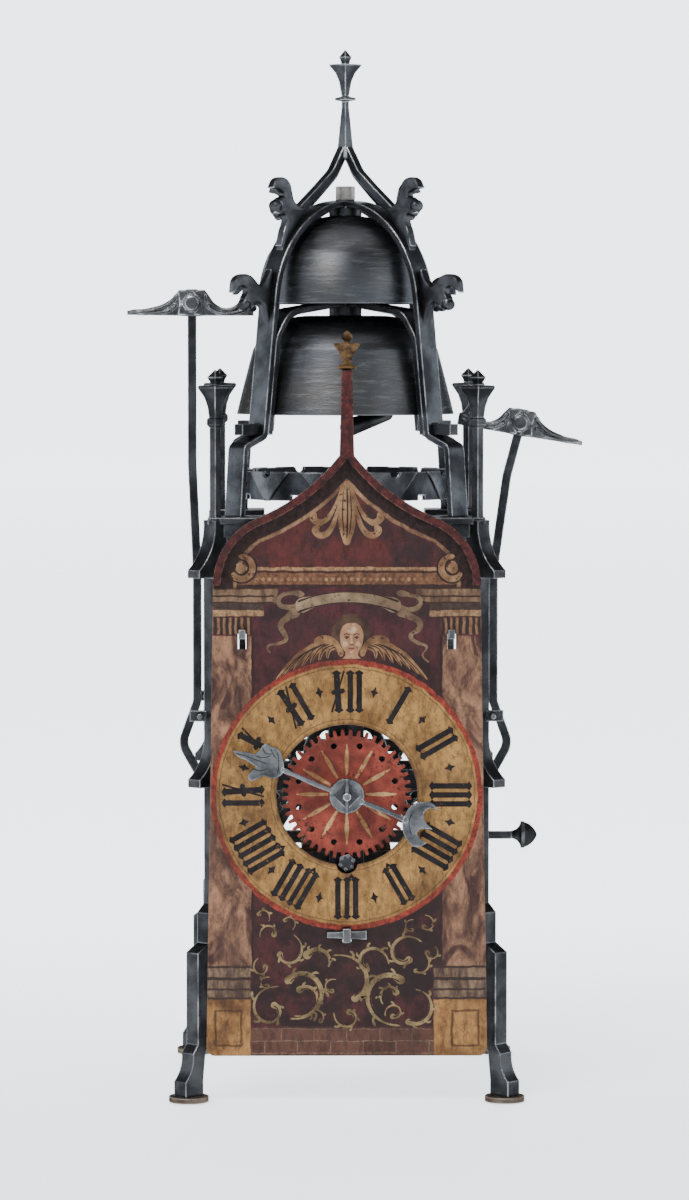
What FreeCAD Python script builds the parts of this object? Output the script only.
import FreeCAD, Part
import math
import os

V = FreeCAD.Vector

# A gothic wall or table clock of wrought iron: four buttressed corner pillars, a painted dial plate,
# a two-wheel going train with a balance hoop, a striking train with two hammers, and two bells in a cage.
# Millimetres, Z up, the dial faces -Y, the origin is on the floor under the middle of the stand.

# Fits and cuts
running_gap = 0.05
free_gap = 0.4
overrun = 1.0

# Corner pillars: square bars set corner to the front, with weathered steps facing outwards
pillar_spacing_x = 120.0
pillar_spacing_y = 118.0
pillar_side = 7.7
foot_disc_radius = 9.1
foot_disc_thickness = 2.4
foot_inner = 12.0
foot_outer = 23.0
foot_block_top = 9.4
ankle_outer = 18.2
ankle_inner = 10.6
ankle_top = 22.0
leg_inner = 7.4
leg_outer = 15.2
leg_shoulder = 72.0
leg_slope = 4.0
thigh_outer = 8.3
thigh_top = 89.8
cap_outer = 13.9
lower_cap_bottom = 143.8
lower_cap_edge = 147.4
lower_cap_top = 168.8
upper_cap_bottom = 239.6
upper_cap_edge = 243.2
upper_cap_top = 265.9
hollow_out_share = 0.30
hollow_up_share = 0.36

# Finials on the pillars: shaft, collar, flared cup and pointed knob
shaft_reach = 2.6
finial_bottom = 308.1
finial_top = 334.5
cup_reach = 8.0
finial_height_shares = [0.05, 0.14, 0.18, 0.36, 0.52, 0.69, 0.73, 0.74, 0.80, 0.87, 1.0]
finial_reach_shares = [0.49, 0.49, 0.36, 0.44, 0.62, 1.0, 0.95, 0.26, 0.32, 0.47, 0.03]

# Horizontal frame bars at the top, the bottom and half way up
frame_bar_thickness = 4.0
frame_bar_height = 6.0
top_frame_z = 258.0
bottom_frame_z = 73.0
cross_bar_y = 14.0
middle_bar_z = 172.0
middle_bar_height = 8.0
tenon_height = 5.0
tenon_thickness = 2.6
tenon_reach = 6.5
key_radius = 1.3
key_length = 11.0
corner_plate_side = 25.0
corner_plate_thickness = 3.0
corner_plate_inset = 9.0

# Upright movement bars, wedged to the frame bars by lugs
movement_bar_width = 16.0
movement_bar_thickness = 4.0
lug_width = 5.0
lug_offset = -5.0
lug_height = 3.6
lug_reach = 6.0
wedge_length = 13.0
wedge_thickness = 1.8
wedge_width = 1.6

# Bearings and arbors
arbor_radius = 3.0
pivot_radius = 1.6
train_height = 109.8
wheel_rim_share = 0.84
wheel_arm_width = 6.0
wheel_hub_radius = 7.0
wheel_thickness = 3.0
train_gap = 2.0
bar_gap = 3.0
going_drum_length = 24.0
strike_drum_length = 18.0
train_module = 1.2
great_teeth = 64
pinion_leaves = 8
tooth_top_share = 0.8
tooth_bottom_share = 1.15
tooth_tip_width_share = 0.17
tooth_root_width_share = 0.52
pinion_tip_width_share = 0.14
pinion_root_width_share = 0.42
pinion_extra = 2.0
drum_radius = 17.0
drum_flange_radius = 21.0
drum_flange_thickness = 2.0

# Dial work: wheel, lantern pinion, hand
dial_teeth = 48
dial_module = 1.2
lantern_pins = 4
lantern_pin_radius = 0.6
lantern_core_radius = 1.0
lantern_disc_radius = 3.5
lantern_disc_thickness = 1.2
dial_wheel_tip_radius = 29.6
dial_wheel_root_radius = 26.8
dial_wheel_thickness = 2.5
dial_tooth_root_width = 1.9
dial_tooth_tip_width = 1.2
dial_wheel_holes = 12
dial_wheel_hole_radius = 1.4
dial_wheel_hole_circle = 22.7
dial_wheel_setback = 1.5
dial_collar_radius = 5.0
dial_collar_thickness = 1.5

# Dial plate with its ogee head
plate_thickness = 2.0
plate_standoff = 13.0
plate_bottom = 21.2
plate_half_width_low = 64.2
plate_half_width_high = 60.9
plate_corner_radius = 4.0
ogee_spring = 237.0
ogee_round_radius = 33.0
ogee_knee_angle = 67.7
ogee_sweep_radius = 90.0
ogee_rim_width = 3.4
ogee_rim_depth = 5.0
spire_half_width = 3.3
spire_half_width_top = 2.3
spire_height = 38.66
dial_opening_radius = 32.2
lobe_radius = 4.9
hook_x = 47.7
hook_width = 3.0
hook_thickness = 2.2
hook_nose = 2.0
slot_width = 3.9
slot_height = 7.0
slot_rise = 42.6
staple_z = 77.0
staple_width = 3.6
staple_height = 6.4
staple_reach = 5.0
staple_gap = 0.2
dial_pin_length = 18.0
dial_pin_height_thick = 4.0
dial_pin_height_thin = 2.4
dial_pin_thickness = 2.2
dial_finial_height = 15.5
dial_finial_reach = 4.6

# Hand: pointing hand on one end, crescent on the other
hand_clearance = 2.0
hand_thickness = 1.5
hand_boss_radius = 8.0
hand_boss_thickness = 1.2
hand_angle = 158.1
hand_reach = 54.8
hand_wrist = 31.0
hand_palm = 42.0
hand_palm_half = 5.8
hand_shaft_half = 1.9
hand_wrist_half = 2.2
finger_half = 1.7
thumb_out = 8.6
finger_root_share = 0.16
thumb_root_share = 0.10
tail_reach = 28.5
tail_half = 1.5
crescent_radius = 9.6
crescent_bite_radius = 8.6
crescent_bite_shift = 5.4
crescent_barb = 6.0
hand_washer_half = 6.2
hand_washer_thickness = 1.3
hand_stud_radius = 1.8
hand_stud_reach = 4.0
hand_pin_length = 16.0
hand_pin_radius = 0.9

# Escapement: crown wheel, verge and balance hoop
crown_radius = 20.0
crown_band = 1.6
crown_depth = 10.0
crown_tooth_depth = 5.0
crown_teeth = 21
crown_web_thickness = 2.0
window_share = 0.55
window_radius_share = 0.24
crown_arbor_radius = 2.2
verge_radius = 2.0
pallet_reach = 5.0
pallet_height = 5.0
pallet_thickness = 1.2
pallet_spread = 100.0
verge_top = 292.0
verge_foot_drop = 32.0
verge_step_drop = 27.0
cock_height = 4.0
cock_half_width = 5.0
verge_foot_cock_drop = 34.0
verge_top_cock_z = 246.0
potence_arm = 2.6
potence_half_gap = 6.0
potence_height = 8.0
potence_depth = 3.0
hoop_radius = 50.5
hoop_wall = 2.0
hoop_bottom = 274.0
hoop_height = 13.2
hoop_periods = 10
hoop_top_notch_radius = 2.4
hoop_foot_notch_half = 2.2
hoop_foot_notch_height = 2.6
hoop_first_notch_angle = -100.0
hoop_arm_half = 3.0
hoop_arm_height = 4.0

# Striking train
hammer_pin_count = 8
hammer_pin_circle = 33.0
hammer_pin_radius = 1.4
hammer_pin_length = 4.0
second_teeth = 56
second_module = 1.0
second_thickness = 2.5
fly_leaves = 7
fly_vane_half_length = 22.0
fly_vane_thickness = 1.2
count_teeth = 78
count_module = 1.2
count_thickness = 2.5
count_rim_thickness = 2.2
count_rim_radius = 32.0
count_rim_width = 2.5
count_notch_half = 1.5
count_stud_radius = 3.0
count_stud_head = 5.5

# Hammers
hammer_arbor_x = 54.0
hammer_arbor_rise = 30.2
hammer_arbor_radius = 2.5
hammer_bar_height = 10.0
hammer_bar_half_length = 60.0
hammer_eye_radius = 5.5
hammer_arm_width = 4.0
hammer_arm_thickness = 4.0
hammer_tail_width = 5.0
hammer_tail_depth = 3.0
ear_x = 77.0
ear_rise = 18.0
ear_inner_x = 67.0
ear_top_rise = 38.0
arm_x = 69.8
arm_bend_z = 240.0
ear_radius = 9.0
arm_radius = 30.0
left_hammer_gap = 2.6
left_arm_bend_top_z = 290.0
left_head_z = 360.0
right_hammer_gap = 1.9
right_arm_mid_x = 76.0
right_arm_mid_z = 284.0
right_head_z = 304.0
right_head_tilt = 10.0
head_thickness = 9.0
head_pick = 29.8
head_inner = 28.4
head_height = 11.0
head_block_half = 5.8
tip_low_share = 0.04
tip_high_share = 0.14
sweep_x_share = 0.50
sweep_z_share = 0.33
shoulder_share = 0.82
dip_x_share = 0.54
dip_top_share = 0.42
dip_low_share = 0.14
face_share = 0.88
crown_share = 0.94
tenon_share = 0.6

# Release lever with its knob
lever_pivot_x = 22.0
lever_knee_x = 36.0
lever_drop = 25.6
lever_half = 1.7
lever_knob_x = 78.6
lever_knob_radius = 6.5
lever_knob_length = 12.0
knob_neck_share = 0.34
knob_flare_share = 0.38
knob_band_share = 0.12
knob_acorn_share = 0.80
knob_tip_share = 0.10
lever_stud_radius = 2.0
lever_stud_head = 4.0
lever_eye_radius = 4.6

# Bell cage and bells
strap_width = 10.5
strap_thickness = 2.8
cage_foot_reach = 72.5
cage_knee_reach = 70.0
cage_step_low = 299.0
cage_step_high = 304.0
cage_leg_reach = 57.5
cage_spring_reach = 50.6
cage_spring_z = 361.5
cage_crown_z = 412.0
inner_foot_z = 304.6
inner_shoulder_z = 349.0
inner_corner_reach = 41.0
inner_corner_z = 361.0
inner_crown_z = 366.2
inner_round = 12.0
joint_round = 3.0
cage_pin_half = 2.6
cage_pin_z = 307.0
cage_pin_inset = 5.5
cage_pin_outset = 12.5
upper_bell_radius = 41.0
upper_bell_rim = 365.0
upper_bell_height = 41.0
lower_bell_clearance = 6.5
lower_bell_rim = 313.5
lower_bell_height = 44.5
bell_wall = 2.6
bell_neck_share = 0.17
upper_bell_shares = [(0.978, 0.26), (0.88, 0.57), (0.62, 0.84)]
lower_bell_shares = [(0.925, 0.35), (0.85, 0.68), (0.69, 0.90)]
bell_stud_radius = 2.5
bell_stud_head_radius = 5.0
bell_stud_head_height = 2.5
bell_collar_radius = 7.6
bell_nut_radius = 4.5
bell_nut_height = 6.5

# Ogee crown over the cage, with its finial
crown_split_z = 437.3
crown_neck_z = 457.0
crown_tip_z = 483.5
crown_spire_reach = 4.1
crown_neck_reach = 1.7
crown_cup_reach = 7.7
crown_height_shares = [0.10, 0.12, 0.16, 0.18, 0.19, 0.45, 0.60, 0.735, 0.75, 0.755, 0.82, 0.875, 1.0]
crown_reach_shares = [0.22, 0.63, 0.63, 0.30, 0.22, 0.38, 0.60, 1.0, 0.95, 0.24, 0.30, 0.39, 0.03]
crown_bar = 4.0
crown_leg_reach_shares = [0.03, 0.20, 0.43, 0.75, 0.94, 1.0]
crown_leg_drop_shares = [0.0, 0.244, 0.417, 0.642, 0.806, 1.0]
crown_leg_reach = 42.3
crown_leg_foot_z = 391.0
cage_round_share = 0.99
strap_seat_gap = 0.1
crown_leg_round = 9.0

# Crockets: curled leaves on the cage
crocket_thickness = 6.0
crocket_size = 19.5
leaf_shares = [(0.10, 0.40, 0.36, 0.68), (0.60, 0.86, 0.84, 0.72), (1.0, 0.54, 0.84, 0.38),
               (0.72, 0.50, 0.60, 0.46), (0.40, 0.30, 0.34, 0.0)]
upper_crocket_reach = 31.0
upper_crocket_z = 401.5
lower_crocket_reach = 51.0
lower_crocket_z = 354.0
crocket_tilt_upper = -22.0
crocket_tilt_lower = -10.0

# Alarm hammer under the lower bell
alarm_x = 2.0
alarm_y = 27.0
alarm_arbor_radius = 1.8
alarm_reach = 20.0
alarm_angle = 25.0
alarm_club_root = 4.4
alarm_club_tip = 3.0
alarm_club_z = 306.5
alarm_club_rise = 6.0
alarm_arbor_bottom = 250.0
alarm_cock_half = 5.0
alarm_collar_radius = 3.2
alarm_collar_height = 2.0

# Places that follow from the sizes above
half_x = pillar_spacing_x / 2
half_y = pillar_spacing_y / 2
bar_half = frame_bar_thickness / 2
top_frame_top = top_frame_z + frame_bar_height
front_bar_back = -half_y + bar_half + movement_bar_thickness
front_bar_front = -half_y + bar_half
rear_bar_front = half_y - bar_half - movement_bar_thickness
rear_bar_back = half_y - bar_half
middle_bar_front = cross_bar_y - bar_half - movement_bar_thickness
middle_bar_back = cross_bar_y - bar_half
plate_back = -half_y - plate_standoff
plate_front = plate_back - plate_thickness
dial_pitch_radius = dial_teeth * dial_module / 2
lantern_circle = lantern_pins * dial_module / 2
dial_height = train_height + dial_pitch_radius + lantern_circle
great_pitch_radius = great_teeth * train_module / 2
pinion_pitch_radius = pinion_leaves * train_module / 2
second_height = train_height + great_pitch_radius + pinion_pitch_radius
verge_bottom = second_height - verge_foot_drop
verge_step = second_height - verge_step_drop
verge_foot_cock_z = second_height - verge_foot_cock_drop
hammer_arbor_z = train_height + hammer_arbor_rise
ear_z = hammer_arbor_z + ear_rise
ear_top_z = hammer_arbor_z + ear_top_rise
lever_z = hammer_arbor_z - lever_drop
fly_height = second_height + (second_teeth + fly_leaves) * second_module / 2
count_height = train_height + (count_teeth + pinion_leaves) * count_module / 2
dial_wheel_front = plate_back + dial_wheel_setback
slot_top = middle_bar_z + slot_rise
ogee_knee = math.radians(ogee_knee_angle)
ogee_span = ogee_round_radius + ogee_sweep_radius
ogee_low_x = plate_half_width_high - ogee_round_radius
ogee_high_x = ogee_low_x + ogee_span * math.cos(ogee_knee)
ogee_high_z = ogee_spring + ogee_span * math.sin(ogee_knee)
spire_foot = ogee_high_z - math.sqrt(ogee_sweep_radius ** 2 - (ogee_high_x - spire_half_width) ** 2)
spire_top = spire_foot + spire_height
cage_pin_inner = cage_leg_reach - cage_pin_inset
cage_pin_outer = cage_leg_reach + cage_pin_outset
lower_bell_radius = cage_leg_reach - lower_bell_clearance
left_arm_top_x = upper_bell_radius + head_inner + left_hammer_gap
right_arm_top_x = lower_bell_radius + head_inner + right_hammer_gap
dial_wheel_back = dial_wheel_front + dial_wheel_thickness
hand_back = plate_front - hand_clearance - hand_boss_thickness
hand_front = hand_back - hand_thickness
washer_front = hand_front - hand_washer_thickness
hammer_bar_front = middle_bar_front - movement_bar_thickness
hammer_bar_rear = rear_bar_front - movement_bar_thickness
crown_tip_y = -pallet_reach - free_gap
going_front = front_bar_back + bar_gap
going_back = going_front + wheel_thickness
second_back = hammer_bar_rear - train_gap
second_front = second_back - second_thickness
strike_back = second_front - train_gap - hammer_pin_length
strike_front = strike_back - wheel_thickness
middle_bearing = (middle_bar_front + middle_bar_back) / 2
hammer_arm_back = hammer_bar_front - 2 * free_gap
hammer_arm_front = hammer_arm_back - hammer_arm_thickness
count_front = rear_bar_back + frame_bar_thickness + train_gap
count_back = count_front + count_thickness
corners = [(-1, -1), (1, -1), (-1, 1), (1, 1)]
corner_names = ["front_left", "front_right", "rear_left", "rear_right"]


# Basic solids
def block(x_low, x_high, y_low, y_high, z_low, z_high):
    corner = V(x_low, y_low, z_low)
    return Part.makeBox(x_high - x_low, y_high - y_low, z_high - z_low, corner)


def rod_y(radius, x, z, y_low, y_high):
    return Part.makeCylinder(radius, y_high - y_low, V(x, y_low, z), V(0, 1, 0))


def rod_z(radius, x, y, z_low, z_high):
    return Part.makeCylinder(radius, z_high - z_low, V(x, y, z_low), V(0, 0, 1))


def joined(shapes):
    whole = shapes[0].multiFuse(shapes[1:])
    return whole.removeSplitter()


def outline(start, steps):
    """A face in the XZ plane. A step of two numbers is a straight run, one of four an arc by its middle."""
    edges = []
    first = V(start[0], 0, start[1])
    here = first
    for step in steps:
        there = V(step[-2], 0, step[-1])
        if len(step) == 4:
            edges.append(Part.Arc(here, V(step[0], 0, step[1]), there).toShape())
        else:
            edges.append(Part.makeLine(here, there))
        here = there
    if not here.isEqual(first, running_gap):
        edges.append(Part.makeLine(here, first))
    return Part.Face(Part.Wire(edges))


def slab(face, y_low, y_high):
    placed = face.translated(V(0, y_low, 0))
    return placed.extrude(V(0, y_high - y_low, 0))


def turned(shape, angle, centre, axis):
    copy = shape.copy()
    copy.rotate(centre, axis, angle)
    return copy


def to_corner(shape, side_x, side_y, away_x, away_y):
    """Turn a shape drawn along +X to face a corner of the stand, and set it that far from the middle."""
    copy = turned(shape, math.degrees(math.atan2(side_y, side_x)), V(0, 0, 0), V(0, 0, 1))
    copy.translate(V(side_x * away_x, side_y * away_y, 0))
    return copy


def square_stack(rows):
    """A four-sided solid with its corners on the axes, through rows of height and half diagonal."""
    wires = []
    for height, reach in rows:
        ring = [V(reach, 0, height), V(0, reach, height), V(-reach, 0, height), V(0, -reach, height)]
        wires.append(Part.makePolygon(ring + ring[:1]))
    return Part.makeLoft(wires, True, True)


# Forged bands: straight stretches with round bends, of an even thickness
def bend_turn(before, here, after):
    ax = here[0] - before[0]
    az = here[1] - before[1]
    bx = after[0] - here[0]
    bz = after[1] - here[1]
    return math.atan2(ax * bz - az * bx, ax * bx + az * bz)


def run_normal(start, end):
    length = math.hypot(end[0] - start[0], end[1] - start[1])
    return (-(end[1] - start[1]) / length, (end[0] - start[0]) / length)


def shifted_run(points, shift):
    """The same run of points, moved sideways by an even distance."""
    moved = []
    for index, point in enumerate(points):
        normals = []
        if index > 0:
            normals.append(run_normal(points[index - 1], point))
        if index < len(points) - 1:
            normals.append(run_normal(point, points[index + 1]))
        first = normals[0]
        last = normals[-1]
        spread = (1 + first[0] * last[0] + first[1] * last[1]) / 2
        moved.append((point[0] + (first[0] + last[0]) / 2 * shift / spread,
                      point[1] + (first[1] + last[1]) / 2 * shift / spread))
    return moved


def bent_edges(points, radii, shift):
    """Edges along one side of a band: the bends keep their centres, so their radii grow or shrink."""
    side = shifted_run(points, shift)
    edges = []
    here = V(side[0][0], 0, side[0][1])
    for index in range(1, len(side) - 1):
        turn = bend_turn(points[index - 1], points[index], points[index + 1])
        radius = radii[index - 1] - shift * math.copysign(1, turn)
        reach = radius * math.tan(abs(turn) / 2)
        corner = V(side[index][0], 0, side[index][1])
        back = (V(side[index - 1][0], 0, side[index - 1][1]) - corner).normalize()
        ahead = (V(side[index + 1][0], 0, side[index + 1][1]) - corner).normalize()
        start = corner + back * reach
        end = corner + ahead * reach
        inward = (back + ahead).normalize()
        middle = corner + inward * (radius / math.cos(turn / 2) - radius)
        edges.append(Part.makeLine(here, start))
        edges.append(Part.Arc(start, middle, end).toShape())
        here = end
    edges.append(Part.makeLine(here, V(side[-1][0], 0, side[-1][1])))
    return edges


def band(points, radii, thickness, width):
    """A band in the XZ plane along a run of points, with its width across Y."""
    one = bent_edges(points, radii, thickness / 2)
    other = bent_edges(points, radii, -thickness / 2)
    start = Part.makeLine(other[0].Vertexes[0].Point, one[0].Vertexes[0].Point)
    end = Part.makeLine(one[-1].Vertexes[-1].Point, other[-1].Vertexes[-1].Point)
    wire = Part.Wire(Part.__sortEdges__(one + other + [start, end]))
    return slab(Part.Face(wire), -width / 2, width / 2)


# Toothed wheels about an axis along Y
def toothed_face(teeth, root, tip, root_half, tip_half, start):
    """Straight-sided teeth: half widths are angles, and the first tooth points along the start angle."""
    points = []
    for index in range(teeth):
        middle = start + 2 * math.pi * index / teeth
        for radius, angle in ((root, -root_half), (tip, -tip_half), (tip, tip_half), (root, root_half)):
            points.append(V(radius * math.cos(middle + angle), 0, radius * math.sin(middle + angle)))
    return Part.Face(Part.makePolygon(points + points[:1]))


def gear(teeth, module, x, z, y_low, y_high, start, tip_width_share, root_width_share):
    pitch = teeth * module / 2
    step = math.pi * module
    root = pitch - tooth_bottom_share * module
    tip = pitch + tooth_top_share * module
    root_half = root_width_share * step / root / 2
    tip_half = tip_width_share * step / tip / 2
    face = toothed_face(teeth, root, tip, root_half, tip_half, start)
    face.translate(V(x, 0, z))
    return slab(face, y_low, y_high)


def wheel(teeth, module, x, z, y_low, y_high, start, bore):
    """A crossed-out wheel: toothed rim, four arms and a hub with a bore."""
    pitch = teeth * module / 2
    inside = pitch * wheel_rim_share
    blank = gear(teeth, module, x, z, y_low, y_high, start, tooth_tip_width_share, tooth_root_width_share)
    rim = blank.cut(rod_y(inside, x, z, y_low - overrun, y_high + overrun))
    rim_middle = (inside + pitch) / 2
    half = wheel_arm_width / 2
    level = block(x - rim_middle, x + rim_middle, y_low, y_high, z - half, z + half)
    upright = block(x - half, x + half, y_low, y_high, z - rim_middle, z + rim_middle)
    arms = joined([level, upright])
    arms = arms.common(rod_y(inside + overrun, x, z, y_low, y_high))
    hub = rod_y(wheel_hub_radius, x, z, y_low, y_high)
    whole = joined([rim, arms, hub])
    return whole.cut(rod_y(bore, x, z, y_low - overrun, y_high + overrun))


def pinion(leaves, module, x, z, y_low, y_high, start):
    return gear(leaves, module, x, z, y_low, y_high, start, pinion_tip_width_share, pinion_root_width_share)


def rope_drum(z, y_low, y_high):
    barrel = rod_y(drum_radius, 0, z, y_low, y_high)
    front = rod_y(drum_flange_radius, 0, z, y_low, y_low + drum_flange_thickness)
    back = rod_y(drum_flange_radius, 0, z, y_high - drum_flange_thickness, y_high)
    whole = joined([barrel, front, back])
    return whole.cut(rod_y(arbor_radius, 0, z, y_low - overrun, y_high + overrun))


parts = {}

# Corner pillars and the discs under their feet
def pillar_body():
    half = pillar_side / 2
    ankle_mid_out = foot_outer - (foot_outer - ankle_outer) * (1 - hollow_out_share)
    ankle_mid_up = foot_block_top + (ankle_top - foot_block_top) * hollow_up_share

    def cap(bottom, edge, top):
        middle_out = half + (cap_outer - half) * hollow_out_share
        middle_up = edge + (top - edge) * hollow_up_share
        return [(half, bottom), (cap_outer, bottom), (cap_outer, edge), (middle_out, middle_up, half, top)]

    steps = [(foot_outer, foot_disc_thickness), (foot_outer, foot_block_top)]
    steps += [(ankle_mid_out, ankle_mid_up, ankle_outer, ankle_top), (leg_outer, ankle_top + leg_slope)]
    steps += [(leg_outer, leg_shoulder - leg_slope), (thigh_outer, leg_shoulder)]
    steps += [(thigh_outer, thigh_top - leg_slope), (half, thigh_top)]
    steps += cap(lower_cap_bottom, lower_cap_edge, lower_cap_top)
    steps += cap(upper_cap_bottom, upper_cap_edge, upper_cap_top)
    steps += [(-half, upper_cap_top), (-half, leg_shoulder)]
    steps += [(leg_inner, leg_shoulder - leg_inner - half), (leg_inner, ankle_top + leg_slope)]
    steps += [(ankle_inner, ankle_top), (foot_inner, foot_block_top)]
    body = slab(outline((foot_inner, foot_disc_thickness), steps), -half, half)
    rows = [(upper_cap_top - overrun, shaft_reach), (finial_bottom, shaft_reach)]
    for up, out in zip(finial_height_shares, finial_reach_shares):
        rows.append((finial_bottom + up * (finial_top - finial_bottom), out * cup_reach))
    return joined([body, turned(square_stack(rows), 45, V(0, 0, 0), V(0, 0, 1))])


def middle_bar(side_y):
    y = side_y * half_y
    inner = half_x - pillar_side / math.sqrt(2)
    tenon_end = half_x + pillar_side / math.sqrt(2) + tenon_reach
    body = block(-inner, inner, y - bar_half, y + bar_half, middle_bar_z, middle_bar_z + middle_bar_height)
    low = middle_bar_z + (middle_bar_height - tenon_height) / 2
    tenon_half = tenon_thickness / 2
    tenon = block(-tenon_end, tenon_end, y - tenon_half, y + tenon_half, low, low + tenon_height)
    return joined([body, tenon])


def key_solid(side_x, side_y):
    x = side_x * (half_x + pillar_side / math.sqrt(2) + key_radius + free_gap)
    y = side_y * half_y
    z = middle_bar_z + middle_bar_height / 2
    return rod_y(key_radius, x, z, y - key_length / 2, y + key_length / 2)


keys = [key_solid(side_x, side_y) for side_x, side_y in corners]
middle_bars = [middle_bar(-1), middle_bar(1)]
middle_bars = [bar.cut(Part.Compound(keys)) for bar in middle_bars]
pillars = []
plain_pillar = pillar_body()
for name, (side_x, side_y) in zip(corner_names, corners):
    standing = to_corner(plain_pillar, side_x, side_y, half_x, half_y)
    parts["pillar_" + name] = standing.cut(Part.Compound(middle_bars))
    pillars.append(standing)
parts["middle_bars"] = Part.Compound(middle_bars)
parts["middle_bar_keys"] = Part.Compound(keys)

foot_out = (foot_inner + foot_outer) / 2 / math.sqrt(2)
discs = []
for side_x, side_y in corners:
    x = side_x * (half_x + foot_out)
    y = side_y * (half_y + foot_out)
    discs.append(rod_z(foot_disc_radius, x, y, 0, foot_disc_thickness))
parts["foot_discs"] = Part.Compound(discs)


# Frame bars between the pillars, and the lugs and wedges that hold the upright movement bars to them
def bar_lugs(y_from, y_to):
    low = min(y_from, y_to)
    high = max(y_from, y_to)
    lugs = []
    for z_bar in (bottom_frame_z, top_frame_z):
        z = z_bar + frame_bar_height / 2
        x = lug_offset
        half = lug_width / 2
        lugs.append(block(x - half, x + half, low, high, z - lug_height / 2, z + lug_height / 2))
    return lugs


def lug_wedges(y_face, side):
    wedges = []
    near = y_face
    far = y_face + side * wedge_thickness
    for z_bar in (bottom_frame_z, top_frame_z):
        z = z_bar + frame_bar_height / 2
        low = min(near, far)
        high = max(near, far)
        x = lug_offset
        half = wedge_width / 2
        wedges.append(block(x - half, x + half, low, high, z - wedge_length / 2, z + wedge_length / 2))
    return wedges


bar_places = [
    ("front_movement_bar", -half_y, -1, front_bar_front, front_bar_back),
    ("middle_movement_bar", cross_bar_y, 1, middle_bar_front, middle_bar_back),
    ("rear_movement_bar", half_y, 1, rear_bar_front, rear_bar_back),
]
wedge_solids = []
movement_bars = {}
for name, y_bar, side, y_low, y_high in bar_places:
    half = movement_bar_width / 2
    strap = block(-half, half, y_low, y_high, bottom_frame_z, top_frame_top)
    face = y_bar + side * bar_half
    lug_start = (y_low + y_high) / 2
    wedges = lug_wedges(face, side)
    wedge_solids += wedges
    lugs = bar_lugs(lug_start, face + side * lug_reach)
    movement_bars[name] = joined([strap] + lugs).cut(Part.Compound(wedges))
parts["movement_bar_wedges"] = Part.Compound(wedge_solids)

all_lugs = Part.Compound(list(movement_bars.values()))
pillar_group = Part.Compound(pillars)
for name, z in (("bottom", bottom_frame_z), ("top", top_frame_z)):
    sides = []
    for side_x in (-1, 1):
        x = side_x * half_x
        bar = block(x - bar_half, x + bar_half, -half_y, half_y, z, z + frame_bar_height)
        sides.append(bar.cut(pillar_group))
    crosses = []
    for y in (-half_y, half_y):
        bar = block(-half_x, half_x, y - bar_half, y + bar_half, z, z + frame_bar_height)
        crosses.append(bar.cut(pillar_group).cut(all_lugs))
    reach = half_x - bar_half
    bar = block(-reach, reach, cross_bar_y - bar_half, cross_bar_y + bar_half, z, z + frame_bar_height)
    crosses.append(bar.cut(all_lugs))
    parts[name + "_side_bars"] = Part.Compound(sides)
    parts[name + "_cross_bars"] = Part.Compound(crosses)

plates = []
for side_x, side_y in corners:
    x = side_x * (half_x - corner_plate_inset)
    y = side_y * (half_y - corner_plate_inset)
    half = corner_plate_side / 2
    top = top_frame_top + corner_plate_thickness
    plates.append(block(x - half, x + half, y - half, y + half, top_frame_top, top).cut(pillar_group))
parts["corner_plates"] = Part.Compound(plates)

# Bearing holes of the movement bars
front_holes = [
    rod_y(arbor_radius + running_gap, 0, train_height, front_bar_front - overrun, front_bar_back + overrun),
    rod_y(arbor_radius + running_gap, 0, dial_height, front_bar_front - overrun, front_bar_back + overrun),
    rod_y(pivot_radius + running_gap, 0, second_height, front_bar_front - overrun,
          front_bar_back + overrun),
]
middle_holes = [
    rod_y(arbor_radius + running_gap, 0, train_height, middle_bar_front - overrun,
          middle_bar_back + overrun),
    rod_y(pivot_radius + running_gap, 0, second_height, middle_bar_front - overrun,
          middle_bar_back + overrun),
    rod_y(pivot_radius + running_gap, 0, fly_height, middle_bar_front - overrun, middle_bar_back + overrun),
]
rear_holes = [
    rod_y(arbor_radius + running_gap, 0, train_height, rear_bar_front - overrun, rear_bar_back + overrun),
    rod_y(pivot_radius + running_gap, 0, second_height, rear_bar_front - overrun, rear_bar_back + overrun),
    rod_y(pivot_radius + running_gap, 0, fly_height, rear_bar_front - overrun, rear_bar_back + overrun),
]
parts["front_movement_bar"] = movement_bars["front_movement_bar"].cut(Part.Compound(front_holes))
parts["middle_movement_bar"] = movement_bars["middle_movement_bar"].cut(Part.Compound(middle_holes))


# Painted dial plate: a straight-sided sheet under an ogee head with a raised rim and a short spire
def ogee_side(shrink, end_x, side):
    """Steps along one side of the ogee, from the spring to the apex, set in by an even distance."""
    low_radius = ogee_round_radius - shrink
    high_radius = ogee_sweep_radius + shrink
    end_angle = -math.acos((end_x - ogee_high_x) / high_radius)
    start_angle = ogee_knee - math.pi
    middle_angle = (start_angle + end_angle) / 2

    def low(angle):
        x = ogee_low_x + low_radius * math.cos(angle)
        return (side * x, ogee_spring + low_radius * math.sin(angle))

    def high(angle):
        x = ogee_high_x + high_radius * math.cos(angle)
        return (side * x, ogee_high_z + high_radius * math.sin(angle))

    up = [low(0), low(ogee_knee / 2) + low(ogee_knee), high(middle_angle) + high(end_angle)]
    down = [high(end_angle), high(middle_angle) + low(ogee_knee), low(ogee_knee / 2) + low(0)]
    return up, down


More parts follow.
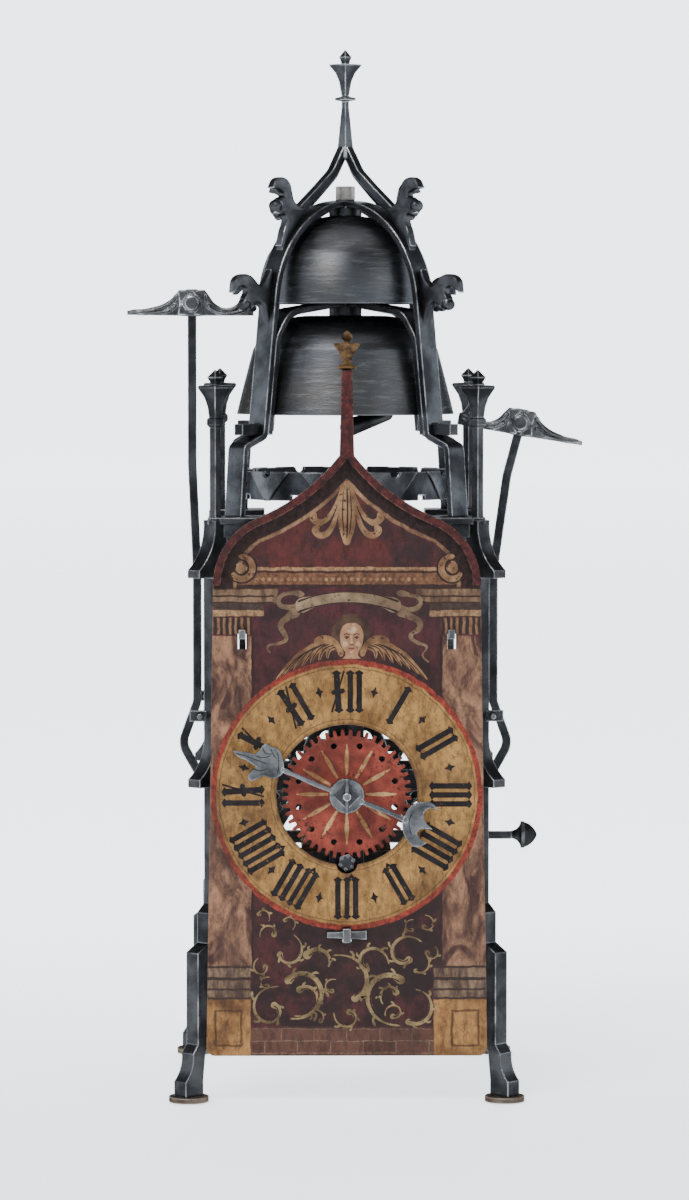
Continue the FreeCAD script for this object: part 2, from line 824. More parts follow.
def plate_face():
    radius = plate_corner_radius
    nip = radius * (1 - math.cos(math.radians(45)))
    low = plate_half_width_low
    right_up = ogee_side(0, spire_half_width, 1)[0]
    left_down = ogee_side(0, spire_half_width, -1)[1]
    steps = [(low - radius, plate_bottom), (low - nip, plate_bottom + nip, low, plate_bottom + radius)]
    steps += right_up
    steps += [(spire_half_width_top, spire_top), (-spire_half_width_top, spire_top)]
    steps += left_down
    steps += [(-low, plate_bottom + radius), (-low + nip, plate_bottom + nip, -low + radius, plate_bottom)]
    return outline((-low + radius, plate_bottom), steps)


def rim_face():
    steps = ogee_side(0, spire_half_width, 1)[0][1:]
    steps += [(spire_half_width_top, spire_top), (-spire_half_width_top, spire_top)]
    steps += ogee_side(0, spire_half_width, -1)[1]
    steps += ogee_side(ogee_rim_width, 0, -1)[0]
    steps += ogee_side(ogee_rim_width, 0, 1)[1][1:]
    return outline((plate_half_width_high, ogee_spring), steps)


dial_plate = joined([
    slab(plate_face(), plate_front, plate_back),
    slab(rim_face(), plate_front - ogee_rim_depth, plate_front),
])
staple_low = staple_z - staple_height / 2
staple_high = staple_z + staple_height / 2
staple_hole_half = staple_width / 2 + staple_gap
plate_cuts = [
    rod_y(dial_opening_radius, 0, dial_height, plate_front - overrun, plate_back + overrun),
    rod_y(lobe_radius, 0, train_height, plate_front - overrun, plate_back + overrun),
    block(-staple_hole_half, staple_hole_half, plate_front - overrun, plate_back + overrun,
          staple_low - staple_gap, staple_high + staple_gap),
]
for side in (-1, 1):
    x = side * hook_x
    half = slot_width / 2
    plate_cuts.append(block(x - half, x + half, plate_front - overrun, plate_back + overrun,
                            slot_top - slot_height, slot_top))
parts["dial_plate"] = dial_plate.cut(Part.Compound(plate_cuts))

finial_rows = [(spire_top, spire_half_width_top)]
for up, out in zip(finial_height_shares, finial_reach_shares):
    finial_rows.append((spire_top + up * dial_finial_height, out * dial_finial_reach))
dial_finial = square_stack(finial_rows)
dial_finial.translate(V(0, (plate_front + plate_back) / 2, 0))
parts["dial_finial"] = dial_finial

# Hooks that the plate hangs on, and the staple and wedge that hold its foot
hook_face = -half_y - bar_half
hooks = []
for side in (-1, 1):
    low = side * hook_x - hook_width / 2
    high = side * hook_x + hook_width / 2
    nose_back = plate_front - free_gap
    upright = block(low, high, hook_face - hook_thickness, hook_face, middle_bar_z, slot_top)
    level = block(low, high, nose_back - hook_thickness, hook_face, slot_top - hook_thickness, slot_top)
    nose = block(low, high, nose_back - hook_thickness, nose_back, slot_top - hook_thickness,
                 slot_top + hook_nose)
    hooks.append(joined([upright, level, nose]))
parts["dial_hooks"] = Part.Compound(hooks)

pin_back = plate_front - staple_gap
pin_left = -dial_pin_length / 2
pin_right = dial_pin_length / 2
pin_steps = [
    (pin_right, staple_z - dial_pin_height_thick / 2),
    (pin_right, staple_z + dial_pin_height_thick / 2),
    (pin_left, staple_z + dial_pin_height_thin / 2),
]
pin_face = outline((pin_left, staple_z - dial_pin_height_thin / 2), pin_steps)
parts["dial_wedge_pin"] = slab(pin_face, pin_back - dial_pin_thickness, pin_back)
staple = block(-staple_width / 2, staple_width / 2, plate_front - staple_reach, hook_face,
               staple_z - staple_height / 2, staple_z + staple_height / 2)
parts["dial_staple"] = staple.cut(parts["dial_wedge_pin"])

# Dial wheel with thin teeth and a ring of holes, on an arbor that carries the hand
tooth_root_half = dial_tooth_root_width / dial_wheel_root_radius / 2
tooth_tip_half = dial_tooth_tip_width / dial_wheel_tip_radius / 2
wheel_face = toothed_face(dial_teeth, dial_wheel_root_radius, dial_wheel_tip_radius, tooth_root_half,
                          tooth_tip_half, math.pi / dial_teeth)
wheel_face.translate(V(0, 0, dial_height))
dial_wheel = slab(wheel_face, dial_wheel_front, dial_wheel_back)
wheel_cuts = [rod_y(arbor_radius, 0, dial_height, dial_wheel_front - overrun, dial_wheel_back + overrun)]
for index in range(dial_wheel_holes):
    angle = 2 * math.pi * (index + 0.5) / dial_wheel_holes
    x = dial_wheel_hole_circle * math.cos(angle)
    z = dial_height + dial_wheel_hole_circle * math.sin(angle)
    wheel_cuts.append(rod_y(dial_wheel_hole_radius, x, z, dial_wheel_front - overrun,
                            dial_wheel_back + overrun))
parts["dial_wheel"] = dial_wheel.cut(Part.Compound(wheel_cuts))

collar_front = front_bar_back + free_gap
stud_end = washer_front - hand_stud_reach
dial_arbor = joined([
    rod_y(arbor_radius, 0, dial_height, hand_front, collar_front),
    rod_y(dial_collar_radius, 0, dial_height, collar_front, collar_front + dial_collar_thickness),
    rod_y(dial_collar_radius, 0, dial_height, dial_wheel_back, front_bar_front - free_gap),
    rod_y(dial_collar_radius, 0, dial_height, hand_back + hand_boss_thickness, dial_wheel_front),
    rod_y(hand_stud_radius, 0, dial_height, stud_end, hand_front),
])
hand_pin_y = washer_front - hand_pin_radius
hand_pin_low = dial_height - hand_pin_length / 2
hand_pin = rod_z(hand_pin_radius, 0, hand_pin_y, hand_pin_low, hand_pin_low + hand_pin_length)
parts["hand_pin"] = hand_pin
parts["dial_arbor"] = dial_arbor.cut(hand_pin)

washer_steps = [
    (hand_washer_half, dial_height),
    (0, dial_height + hand_washer_half),
    (-hand_washer_half, dial_height),
]
washer = slab(outline((0, dial_height - hand_washer_half), washer_steps), washer_front, hand_front)
washer_hole = rod_y(hand_stud_radius, 0, dial_height, washer_front - overrun, hand_front + overrun)
parts["hand_washer"] = washer.cut(washer_hole)

# Hand drawn along +X, then turned about the arbor
palm_length = hand_reach - hand_palm
finger_root = hand_palm + finger_root_share * hand_reach / 2
hand_steps = [
    (0, -hand_shaft_half), (hand_wrist, -hand_wrist_half), (hand_palm, -hand_palm_half),
    (finger_root, -hand_palm_half), (finger_root, -finger_half), (hand_reach, -finger_half / 2),
    (hand_reach, finger_half / 2), (finger_root, finger_half),
    (hand_palm + palm_length * thumb_root_share, thumb_out / 2),
    (hand_palm + palm_length * finger_root_share, thumb_out),
    (hand_palm - palm_length * thumb_root_share, thumb_out),
    (hand_wrist, hand_wrist_half), (0, hand_shaft_half), (-tail_reach, tail_half),
]
hand_flat = outline((-tail_reach, -tail_half), hand_steps)
crescent_x = -tail_reach - crescent_radius + tail_half / 2
barb_root = crescent_x - crescent_bite_shift + crescent_bite_radius + tail_half / 2
barb_steps = [(barb_root, tail_half), (barb_root - crescent_barb, 0)]
crescent_bite = rod_y(crescent_bite_radius, crescent_x - crescent_bite_shift, 0, hand_front - overrun,
                      hand_back + overrun)
hand_pieces = [
    slab(hand_flat, hand_front, hand_back),
    rod_y(crescent_radius, crescent_x, 0, hand_front, hand_back).cut(crescent_bite),
    slab(outline((barb_root, -tail_half), barb_steps), hand_front, hand_back),
    rod_y(hand_boss_radius, 0, 0, hand_back, hand_back + hand_boss_thickness),
    rod_y(hand_boss_radius / 2, 0, 0, hand_front, hand_back),
]
hand_hole = rod_y(arbor_radius, 0, 0, hand_front - overrun, hand_back + hand_boss_thickness + overrun)
hand = joined(hand_pieces).cut(hand_hole)
hand = turned(hand, -hand_angle, V(0, 0, 0), V(0, 1, 0))
hand.translate(V(0, 0, dial_height))
parts["hand"] = hand

# Going train: great wheel with rope drum, and a lantern pinion in front that turns the dial wheel
lantern_front = dial_wheel_front - free_gap - lantern_disc_thickness
lantern_back = dial_wheel_back + free_gap + lantern_disc_thickness
lantern = [
    rod_y(lantern_disc_radius, 0, train_height, lantern_front, lantern_front + lantern_disc_thickness),
    rod_y(lantern_disc_radius, 0, train_height, lantern_back - lantern_disc_thickness, lantern_back),
    rod_y(lantern_core_radius, 0, train_height, lantern_front, lantern_back),
]
for index in range(lantern_pins):
    angle = 2 * math.pi * index / lantern_pins + math.pi / 2
    x = lantern_circle * math.cos(angle)
    z = train_height + lantern_circle * math.sin(angle)
    lantern.append(rod_y(lantern_pin_radius, x, z, lantern_front, lantern_back))
going_end = middle_bearing - free_gap / 2
lantern.append(rod_y(arbor_radius, 0, train_height, lantern_back - lantern_disc_thickness, going_end))
parts["going_arbor"] = joined(lantern)
parts["going_great_wheel"] = wheel(great_teeth, train_module, 0, train_height, going_front, going_back,
                                   math.pi / 2, arbor_radius)
going_drum_front = going_back
parts["going_drum"] = rope_drum(train_height, going_drum_front, going_drum_front + going_drum_length)

# Crown wheel: a cup with saw teeth on its rear edge, driven by its pinion
crown_front = crown_tip_y - crown_depth
cup = rod_y(crown_radius, 0, 0, crown_front, crown_tip_y)
cup = cup.cut(rod_y(crown_radius - crown_band, 0, 0, crown_front + crown_web_thickness,
                    crown_tip_y + overrun))
tooth_pitch = 2 * math.pi * crown_radius / crown_teeth
saw_cuts = []
for index in range(crown_teeth):
    gap = [V(0, crown_tip_y - crown_tooth_depth, 0),
           V(tooth_pitch * tooth_top_share, crown_tip_y + overrun, 0),
           V(0, crown_tip_y + overrun, 0)]
    prism = Part.Face(Part.makePolygon(gap + gap[:1])).extrude(V(0, 0, crown_band + 2 * overrun))
    prism.translate(V(0, 0, crown_radius - crown_band - overrun))
    saw_cuts.append(turned(prism, 360 / crown_teeth * index, V(0, 0, 0), V(0, 1, 0)))
cup = cup.cut(Part.Compound(saw_cuts))
windows = []
for index in range(4):
    angle = math.pi / 2 * index + math.pi / 4
    x = crown_radius * window_share * math.cos(angle)
    z = crown_radius * window_share * math.sin(angle)
    windows.append(rod_y(crown_radius * window_radius_share, x, z, crown_front - overrun, crown_tip_y))
cup = cup.cut(Part.Compound(windows))
cup.translate(V(0, 0, second_height))
potence_back = crown_front + crown_web_thickness + train_gap + potence_depth
potence_front = potence_back - potence_depth
shaft_front = front_bar_back + free_gap
crown_shaft = [
    cup,
    rod_y(crown_arbor_radius, 0, second_height, shaft_front, potence_front - free_gap),
    rod_y(pivot_radius, 0, second_height, front_bar_front, potence_back),
    pinion(pinion_leaves, train_module, 0, second_height, going_front - pinion_extra / 2,
           going_back + pinion_extra / 2,
           math.pi / pinion_leaves - math.pi / 2),
]
parts["crown_wheel"] = joined(crown_shaft)

# Potence: a stirrup round the verge that carries the rear pivot of the crown wheel
arm_out = potence_half_gap + potence_arm
potence_low = second_height - potence_height / 2
potence_high = second_height + potence_height / 2
potence = block(-arm_out, arm_out, potence_front, middle_bar_front, potence_low, potence_high)
potence = potence.cut(block(-potence_half_gap, potence_half_gap, potence_back, middle_bar_front + overrun,
                            potence_low - overrun, potence_high + overrun))
parts["crown_wheel_potence"] = potence.cut(rod_y(pivot_radius + running_gap, 0, second_height,
                                                 potence_front - overrun, potence_back + overrun))

# Verge with its two pallets, its cocks, and the balance hoop
pallet_circle = crown_radius - crown_band / 2
verge_pieces = [
    rod_z(verge_radius, 0, 0, verge_step, verge_top),
    rod_z(pivot_radius, 0, 0, verge_bottom, verge_step),
]
for side in (-1, 1):
    z = second_height + side * pallet_circle
    half = pallet_thickness / 2
    flag = block(-half, half, -pallet_reach, 0, z - pallet_height / 2, z + pallet_height / 2)
    flag = flag.common(rod_z(pallet_reach, 0, 0, z - pallet_height, z + pallet_height))
    verge_pieces.append(turned(flag, side * pallet_spread / 2, V(0, 0, 0), V(0, 0, 1)))
parts["verge"] = joined(verge_pieces)
cock_front = -cock_half_width
cocks = []
for z, radius in ((verge_foot_cock_z, pivot_radius), (verge_top_cock_z, verge_radius)):
    cock = block(-cock_half_width, cock_half_width, cock_front, middle_bar_front, z, z + cock_height)
    cocks.append(cock.cut(rod_z(radius + running_gap, 0, 0, z - overrun, z + cock_height + overrun)))
parts["verge_cocks"] = Part.Compound(cocks)

hoop_top = hoop_bottom + hoop_height
ring = rod_z(hoop_radius, 0, 0, hoop_bottom, hoop_top)
ring = ring.cut(rod_z(hoop_radius - hoop_wall, 0, 0, hoop_bottom - overrun, hoop_top + overrun))
notch_start = hoop_radius - hoop_wall - overrun
notch_length = hoop_wall + 2 * overrun
notches = []
for index in range(hoop_periods):
    angle = hoop_first_notch_angle + 360 / hoop_periods * index
    bite = Part.makeCylinder(hoop_top_notch_radius, notch_length, V(notch_start, 0, hoop_top), V(1, 0, 0))
    notches.append(turned(bite, angle, V(0, 0, 0), V(0, 0, 1)))
    foot = block(notch_start, notch_start + notch_length, -hoop_foot_notch_half, hoop_foot_notch_half,
                 hoop_bottom - overrun, hoop_bottom + hoop_foot_notch_height)
    notches.append(turned(foot, angle + 180 / hoop_periods, V(0, 0, 0), V(0, 0, 1)))
ring = ring.cut(Part.Compound(notches))
arm_low = hoop_bottom + (hoop_height - hoop_arm_height) / 2
arm_reach = hoop_radius - hoop_wall / 2
arm = block(-arm_reach, arm_reach, -hoop_arm_half, hoop_arm_half, arm_low, arm_low + hoop_arm_height)
hub = rod_z(2 * hoop_arm_half, 0, 0, arm_low, arm_low + hoop_arm_height)
hoop = joined([ring, arm, hub])
parts["balance_hoop"] = hoop.cut(rod_z(verge_radius, 0, 0, hoop_bottom, hoop_top))

# Striking train: great wheel with hammer pins, second wheel, fly and count wheel
pins = []
for index in range(hammer_pin_count):
    angle = 2 * math.pi * (index + 0.5) / hammer_pin_count
    x = hammer_pin_circle * math.cos(angle)
    z = train_height + hammer_pin_circle * math.sin(angle)
    pins.append(rod_y(hammer_pin_radius, x, z, strike_front, strike_back + hammer_pin_length))
strike_wheel = wheel(great_teeth, train_module, 0, train_height, strike_front, strike_back, math.pi / 2,
                     arbor_radius)
parts["strike_great_wheel"] = joined([strike_wheel] + pins)
strike_start = middle_bearing + free_gap / 2
strike_end = count_back + free_gap
parts["strike_arbor"] = joined([
    rod_y(arbor_radius, 0, train_height, strike_start, rear_bar_back + free_gap),
    pinion(pinion_leaves, count_module, 0, train_height, rear_bar_back + free_gap, strike_end,
           math.pi / pinion_leaves + math.pi / 2),
])
parts["strike_drum"] = rope_drum(train_height, strike_front - strike_drum_length, strike_front)
parts["strike_second_wheel"] = joined([
    wheel(second_teeth, second_module, 0, second_height, second_front, second_back, math.pi / 2,
          crown_arbor_radius),
    pinion(pinion_leaves, train_module, 0, second_height, strike_front - pinion_extra / 2,
           strike_back + pinion_extra / 2,
           math.pi / pinion_leaves - math.pi / 2),
    rod_y(crown_arbor_radius, 0, second_height, middle_bar_back + free_gap, rear_bar_front - free_gap),
    rod_y(pivot_radius, 0, second_height, middle_bar_front, rear_bar_back),
])
vane_middle = fly_height
vane_front = middle_bar_back + bar_gap
vane_back = strike_front - train_gap
parts["fly"] = joined([
    rod_y(crown_arbor_radius, 0, fly_height, middle_bar_back + free_gap, rear_bar_front - free_gap),
    rod_y(pivot_radius, 0, fly_height, middle_bar_front, rear_bar_back),
    pinion(fly_leaves, second_module, 0, fly_height, second_front - pinion_extra / 2,
           second_back + pinion_extra / 2,
           math.pi / fly_leaves - math.pi / 2),
    block(-fly_vane_half_length, fly_vane_half_length, vane_front, vane_back,
          vane_middle - fly_vane_thickness / 2, vane_middle + fly_vane_thickness / 2),
])

stud_length = count_back + free_gap + count_rim_thickness
parts["count_wheel_stud"] = joined([
    rod_y(count_stud_radius, 0, count_height, rear_bar_front + movement_bar_thickness / 2,
          stud_length + free_gap),
    rod_y(count_stud_head, 0, count_height, stud_length + free_gap, stud_length + free_gap + train_gap),
])
parts["rear_movement_bar"] = movement_bars["rear_movement_bar"].cut(
    Part.Compound(rear_holes + [parts["count_wheel_stud"]]))
count = wheel(count_teeth, count_module, 0, count_height, count_front, count_back, -math.pi / 2,
              count_stud_radius + running_gap)
count_rim = rod_y(count_rim_radius, 0, count_height, count_front, count_back + count_rim_thickness)
count_rim = count_rim.cut(rod_y(count_rim_radius - count_rim_width, 0, count_height, count_front - overrun,
                                count_back + count_rim_thickness + overrun))
blows = 0
notch_cuts = []
for hour in range(1, 13):
    blows += hour
    notch = block(-count_notch_half, count_notch_half, count_back,
                  count_back + count_rim_thickness + overrun,
                  count_rim_radius - count_rim_width - overrun, count_rim_radius + overrun)
    notch_cuts.append(turned(notch, 360 * blows / count_teeth, V(0, 0, 0), V(0, 1, 0)))
count_notches = Part.Compound(notch_cuts)
count_notches.translate(V(0, 0, count_height))
parts["count_wheel"] = joined([count, count_rim.cut(count_notches)])


# Hammers: a head like a pick on a long arm that hooks outwards round the frame to its arbor
def pick_head():
    """Head drawn with its pick along +X and its base on the X axis; the inner end strikes the bell."""
    steps = [
        (head_pick, head_height * tip_low_share), (head_pick, head_height * tip_high_share),
        (head_pick * sweep_x_share, head_height * sweep_z_share,
         head_block_half, head_height * shoulder_share),
        (head_block_half * shoulder_share, head_height), (-head_block_half * shoulder_share, head_height),
        (-head_block_half, head_height * shoulder_share),
        (-head_inner * dip_x_share, head_height * dip_top_share,
         -head_inner * face_share, head_height * crown_share),
        (-head_inner, head_height * crown_share), (-head_inner, 0), (-head_inner * face_share, 0),
        (-head_inner * dip_x_share, head_height * dip_low_share, -head_block_half, 0),
    ]
    return slab(outline((head_block_half, 0), steps), -head_thickness / 2, head_thickness / 2)


def hammer_tail(side):
    span = math.hypot(hammer_arbor_x, hammer_arbor_z - train_height)
    length = span - hammer_pin_circle - hammer_pin_radius - free_gap
    low = strike_back + free_gap
    bar = block(0, length, low, low + hammer_tail_depth, -hammer_tail_width / 2, hammer_tail_width / 2)
    aim = math.degrees(math.atan2(train_height - hammer_arbor_z, -side * hammer_arbor_x))
    bar = turned(bar, -aim, V(0, 0, 0), V(0, 1, 0))
    bar.translate(V(side * hammer_arbor_x, 0, hammer_arbor_z))
    return bar


def hammer_arm(side, upper_points, upper_radii):
    points = [(hammer_arbor_x, hammer_arbor_z), (ear_inner_x, hammer_arbor_z), (ear_x, ear_z),
              (arm_x, ear_top_z),
              (arm_x, arm_bend_z)] + upper_points
    points = [(side * x, z) for x, z in points]
    radii = [ear_radius, ear_radius, ear_radius] + upper_radii
    middle = (hammer_arm_front + hammer_arm_back) / 2
    arm_band = band(points, radii, hammer_arm_width, hammer_arm_thickness)
    arm_band.translate(V(0, middle, 0))
    x = side * hammer_arbor_x
    eye = rod_y(hammer_eye_radius, x, hammer_arbor_z, hammer_arm_front, hammer_arm_back)
    arbor = rod_y(hammer_arbor_radius, x, hammer_arbor_z, hammer_arm_front, rear_bar_front - free_gap)
    return joined([arm_band, eye, arbor, hammer_tail(side)])


def hammer_head(side, x, z, tilt):
    head = turned(pick_head(), tilt, V(0, 0, 0), V(0, 1, 0))
    if side < 0:
        head = head.mirror(V(0, 0, 0), V(1, 0, 0))
    head.translate(V(side * x, (hammer_arm_front + hammer_arm_back) / 2, z))
    return head


tenon = head_height * tenon_share
left_points = [(left_arm_top_x, left_arm_bend_top_z), (left_arm_top_x, left_head_z + tenon)]
left_arm = hammer_arm(-1, left_points, [arm_radius, arm_radius])
left_head = hammer_head(-1, left_arm_top_x, left_head_z, 0)
parts["left_hammer_arm"] = left_arm
parts["left_hammer_head"] = left_head.cut(left_arm)
lean = math.hypot(right_arm_top_x - right_arm_mid_x, right_head_z - right_arm_mid_z)
lean_x = (right_arm_top_x - right_arm_mid_x) / lean
lean_z = (right_head_z - right_arm_mid_z) / lean
right_points = [(right_arm_mid_x, right_arm_mid_z),
                (right_arm_top_x + lean_x * tenon, right_head_z + lean_z * tenon)]
right_arm = hammer_arm(1, right_points, [arm_radius, arm_radius])
right_head = hammer_head(1, right_arm_top_x, right_head_z, right_head_tilt)
parts["right_hammer_arm"] = right_arm
parts["right_hammer_head"] = right_head.cut(right_arm)

# Release lever on a stud of the front hammer bar, with a turned knob outside the frame
lever_points = [(lever_pivot_x, hammer_arbor_z), (lever_knee_x, lever_z), (lever_knob_x, lever_z)]
lever_band = band(lever_points, [ear_radius], 2 * lever_half, 2 * lever_half)
lever_middle = (hammer_arm_front + hammer_arm_back) / 2
lever_band.translate(V(0, lever_middle, 0))
lever_eye = rod_y(lever_eye_radius, lever_pivot_x, hammer_arbor_z, lever_middle - lever_half,
                  lever_middle + lever_half)
flare = lever_knob_length * knob_flare_share
belt = lever_knob_length * knob_band_share
acorn = lever_knob_length - flare - belt
knob_axis = V(1, 0, 0)
knob = [
    Part.makeCone(lever_knob_radius * knob_neck_share, lever_knob_radius, flare,
                  V(lever_knob_x, lever_middle, lever_z), knob_axis),
    Part.makeCylinder(lever_knob_radius, belt, V(lever_knob_x + flare, lever_middle, lever_z), knob_axis),
    Part.makeCone(lever_knob_radius * knob_acorn_share, lever_knob_radius * knob_tip_share, acorn,
                  V(lever_knob_x + flare + belt, lever_middle, lever_z), knob_axis),
]
lever = joined([lever_band, lever_eye] + knob)
lever_hole = rod_y(lever_stud_radius + running_gap, lever_pivot_x, hammer_arbor_z,
                   hammer_arm_front - overrun, hammer_arm_back + overrun)
parts["release_lever"] = lever.cut(lever_hole)
stud_front = lever_middle - lever_half - free_gap
parts["lever_stud"] = joined([
    rod_y(lever_stud_radius, lever_pivot_x, hammer_arbor_z, stud_front, middle_bar_front),
    rod_y(lever_stud_head, lever_pivot_x, hammer_arbor_z, stud_front - belt, stud_front),
])

# Cross bars that carry the hammer arbors
hammer_bars = []
for y_low, y_high in ((hammer_bar_front, middle_bar_front), (hammer_bar_rear, rear_bar_front)):
    bar = block(-hammer_bar_half_length, hammer_bar_half_length, y_low, y_high,
                hammer_arbor_z - hammer_bar_height / 2, hammer_arbor_z + hammer_bar_height / 2)
    for side in (-1, 1):
        bar = bar.cut(rod_y(hammer_arbor_radius + running_gap, side * hammer_arbor_x, hammer_arbor_z,
                            y_low - overrun, y_high + overrun))
    hammer_bars.append(bar.cut(parts["lever_stud"]))
parts["hammer_bars"] = Part.Compound(hammer_bars)


# Bell cage: two crossing straps over both bells, two inner straps that carry the lower bell
def leg_reach_at(z):
    share = (z - cage_step_high) / (cage_spring_z - cage_step_high)
    return cage_leg_reach + (cage_spring_reach - cage_leg_reach) * share


def mirrored_run(points):
    return points + [(-x, z) for x, z in reversed(points)]


def lapped(strap, keep_low, crown_z, stud):
    """Halve a strap where it crosses its twin, and bore it for the bell stud."""
    half = strap_width / 2
    low = crown_z
    high = crown_z + strap_thickness
    if not keep_low:
        low = crown_z - strap_thickness
        high = crown_z
    strap = strap.cut(block(-half, half, -half, half, low, high))
    return strap.cut(rod_z(stud, 0, 0, crown_z - strap_thickness, crown_z + strap_thickness))


foot_z = top_frame_top + corner_plate_thickness
corner_x = leg_reach_at(cage_crown_z)
leg_angle = math.atan2(cage_spring_z - cage_step_high, cage_leg_reach - cage_spring_reach)
cage_round = cage_round_share * corner_x / math.tan(leg_angle / 2)
outer_run = mirrored_run([(cage_foot_reach, foot_z), (cage_knee_reach, cage_step_low),
                          (cage_leg_reach, cage_step_high), (corner_x, cage_crown_z)])
outer_radii = [joint_round, joint_round, cage_round, cage_round, joint_round, joint_round]
inner_set = strap_thickness + strap_seat_gap
inner_run = [(leg_reach_at(inner_foot_z) - inner_set, inner_foot_z),
             (leg_reach_at(inner_shoulder_z) - inner_set, inner_shoulder_z),
             (inner_corner_reach, inner_corner_z)]
inner_run = inner_run + [(0, inner_crown_z)] + [(-x, z) for x, z in reversed(inner_run)]
inner_radii = [inner_round] * (len(inner_run) - 2)
cage_pins = []
for side_x, side_y in corners:
    pin = block(cage_pin_inner, cage_pin_outer, -cage_pin_half, cage_pin_half, cage_pin_z - cage_pin_half,
                cage_pin_z + cage_pin_half)
    cage_pins.append(to_corner(pin, side_x, side_y, 0, 0))
cage_pin_group = Part.Compound(cage_pins)
parts["cage_pins"] = cage_pin_group
outer_arches = []
inner_arches = []
for name, angle, keep_low in (("first", 45, True), ("second", -45, False)):
    outer = band(outer_run, outer_radii, strap_thickness, strap_width)
    outer = lapped(outer, keep_low, cage_crown_z, bell_stud_radius)
    outer = turned(outer, angle, V(0, 0, 0), V(0, 0, 1)).cut(cage_pin_group).cut(parts["corner_plates"])
    inner = band(inner_run, inner_radii, strap_thickness, strap_width)
    inner = lapped(inner, keep_low, inner_crown_z, bell_stud_radius)
    inner = turned(inner, angle, V(0, 0, 0), V(0, 0, 1)).cut(cage_pin_group)
    parts["outer_arch_" + name] = outer
    outer_arches.append(outer)
    inner_arches.append(inner)
outer_arch_group = Part.Compound(outer_arches)
parts["inner_arches"] = Part.Compound(inner_arches)

# Ogee crown: four bars that sweep up from the cage into a spire with a finial
crown_rows = [(crown_split_z - crown_bar, crown_spire_reach), (crown_neck_z, crown_neck_reach)]
for up, out in zip(crown_height_shares, crown_reach_shares):
    crown_rows.append((crown_neck_z + up * (crown_tip_z - crown_neck_z), out * crown_cup_reach))
crown_pieces = [square_stack(crown_rows)]
leg_drop = crown_split_z - crown_leg_foot_z
leg_run = []
for out, down in zip(crown_leg_reach_shares, crown_leg_drop_shares):
    leg_run.append((out * crown_leg_reach, crown_split_z - down * leg_drop))
crown_leg = band(leg_run, [crown_leg_round] * (len(leg_run) - 2), crown_bar, crown_bar)
for side_x, side_y in corners:
    crown_pieces.append(to_corner(crown_leg, side_x, side_y, 0, 0))
parts["ogee_crown"] = joined(crown_pieces).cut(outer_arch_group)


# Crockets: leaves that curl outwards, riveted on the crown and on the cage
def crocket(reach, z, tilt):
    steps = [tuple(share * crocket_size for share in row) for row in leaf_shares]
    leaf = slab(outline((0, 0), steps), -crocket_thickness / 2, crocket_thickness / 2)
    leaf = turned(leaf, tilt, V(0, 0, 0), V(0, 1, 0))
    leaf.translate(V(reach, 0, z))
    return leaf


crockets = []
for reach, z, tilt in ((upper_crocket_reach, upper_crocket_z, crocket_tilt_upper),
                       (lower_crocket_reach, lower_crocket_z, crocket_tilt_lower)):
    leaves = []
    for side_x, side_y in corners:
        leaf = to_corner(crocket(reach, z, tilt), side_x, side_y, 0, 0)
        leaves.append(leaf.cut(outer_arch_group).cut(parts["ogee_crown"]))
    crockets += leaves
parts["crockets"] = Part.Compound(crockets)


# Bells, their studs and nuts
def bell(radius, rim, height, shares):
    neck = radius * bell_neck_share
    outer = [(share_r * radius, rim + share_h * height) for share_r, share_h in shares]
    inside = radius - bell_wall
    depth = height - bell_wall
    inner = [(share_r * inside, rim + share_h * depth) for share_r, share_h in shares]
    steps = [
        outer[0] + outer[1], outer[2] + (neck, rim + height), (bell_stud_radius, rim + height),
        (bell_stud_radius, rim + depth), (neck, rim + depth), inner[2] + inner[1], inner[0] + (inside, rim),
    ]
    return outline((radius, rim), steps).revolve(V(0, 0, 0), V(0, 0, 1), 360)


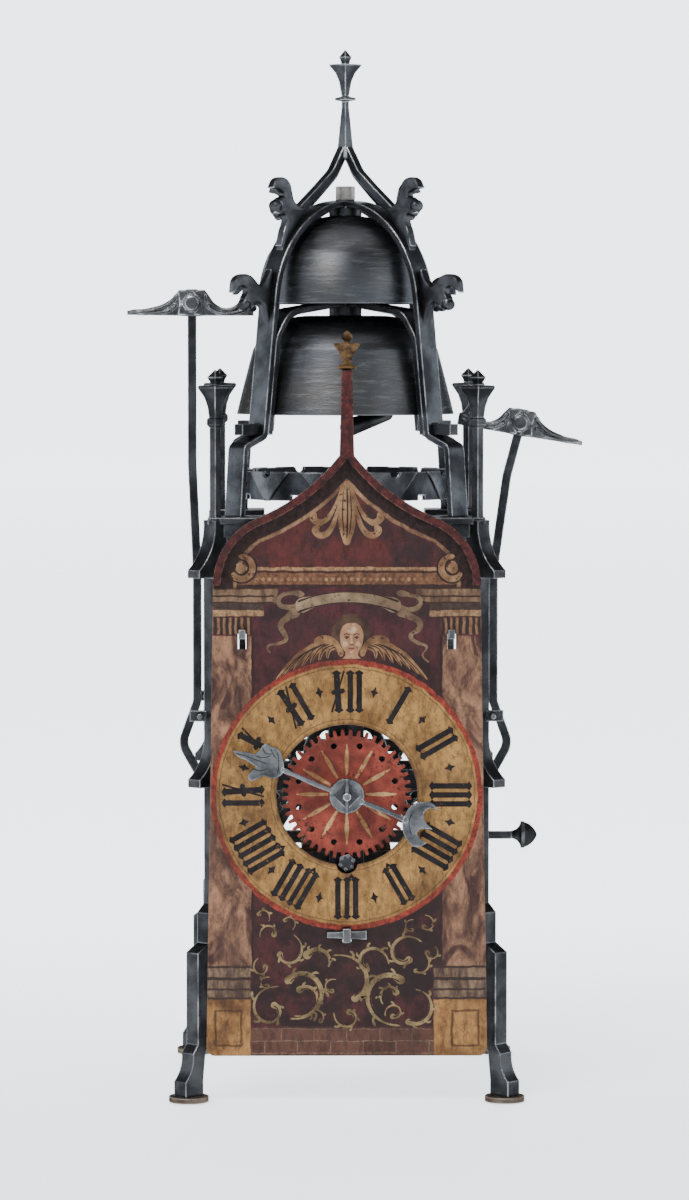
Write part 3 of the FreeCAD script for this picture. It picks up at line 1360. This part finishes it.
parts["upper_bell"] = bell(upper_bell_radius, upper_bell_rim, upper_bell_height, upper_bell_shares)
parts["lower_bell"] = bell(lower_bell_radius, lower_bell_rim, lower_bell_height, lower_bell_shares)
nuts = []
studs = []
for crown, arch in ((upper_bell_rim + upper_bell_height, cage_crown_z),
                    (lower_bell_rim + lower_bell_height, inner_crown_z)):
    inside = crown - bell_wall
    under = arch - strap_thickness / 2
    over = arch + strap_thickness / 2
    stud = joined([
        rod_z(bell_stud_head_radius, 0, 0, inside - bell_stud_head_height, inside),
        rod_z(bell_stud_radius, 0, 0, inside, over + bell_nut_height),
        rod_z(bell_collar_radius, 0, 0, crown, under),
    ])
    studs.append(stud.cut(outer_arch_group).cut(parts["inner_arches"]))
    nut = rod_z(bell_nut_radius, 0, 0, over, over + bell_nut_height)
    nuts.append(nut.cut(rod_z(bell_stud_radius, 0, 0, over - overrun, over + bell_nut_height + overrun)))
parts["bell_studs"] = Part.Compound(studs)
parts["bell_nuts"] = Part.Compound(nuts)

# Alarm hammer: a club on an upright arbor that strikes the lower bell from inside
alarm_cock_top = top_frame_top + corner_plate_thickness
cock_back = alarm_y + alarm_cock_half
alarm_cocks = []
for y_low, z_low in ((cross_bar_y - bar_half, top_frame_top), (middle_bar_back, alarm_arbor_bottom)):
    cock = block(alarm_x - alarm_cock_half, alarm_x + alarm_cock_half, y_low, cock_back, z_low,
                 z_low + corner_plate_thickness)
    alarm_cocks.append(cock.cut(rod_z(alarm_arbor_radius + running_gap, alarm_x, alarm_y, z_low - overrun,
                                      z_low + corner_plate_thickness + overrun)))
parts["alarm_cocks"] = Part.Compound(alarm_cocks)
club_axis = V(alarm_reach, 0, alarm_club_rise)
club = Part.makeCone(alarm_club_root, alarm_club_tip, club_axis.Length, V(0, 0, alarm_club_z), club_axis)
club_end = Part.makeSphere(alarm_club_tip, V(alarm_reach, 0, alarm_club_z + alarm_club_rise))
club_boss = Part.makeSphere(alarm_club_root, V(0, 0, alarm_club_z))
alarm_shaft = rod_z(alarm_arbor_radius, 0, 0, alarm_arbor_bottom, alarm_club_z)
alarm_collar_z = alarm_cock_top + free_gap
alarm_collar = rod_z(alarm_collar_radius, 0, 0, alarm_collar_z, alarm_collar_z + alarm_collar_height)
alarm = joined([club, club_end, club_boss, alarm_shaft, alarm_collar])
alarm = turned(alarm, alarm_angle, V(0, 0, 0), V(0, 0, 1))
alarm.translate(V(alarm_x, alarm_y, 0))
parts["alarm_hammer"] = alarm

os.makedirs("parts", exist_ok=True)
for name, shape in parts.items():
    if not shape.isValid():
        print("not valid", name)
    print(name, len(shape.Solids), round(shape.Volume, 2))
    shape.exportStep("parts/" + name + ".step")
print(len(parts), "nodes")
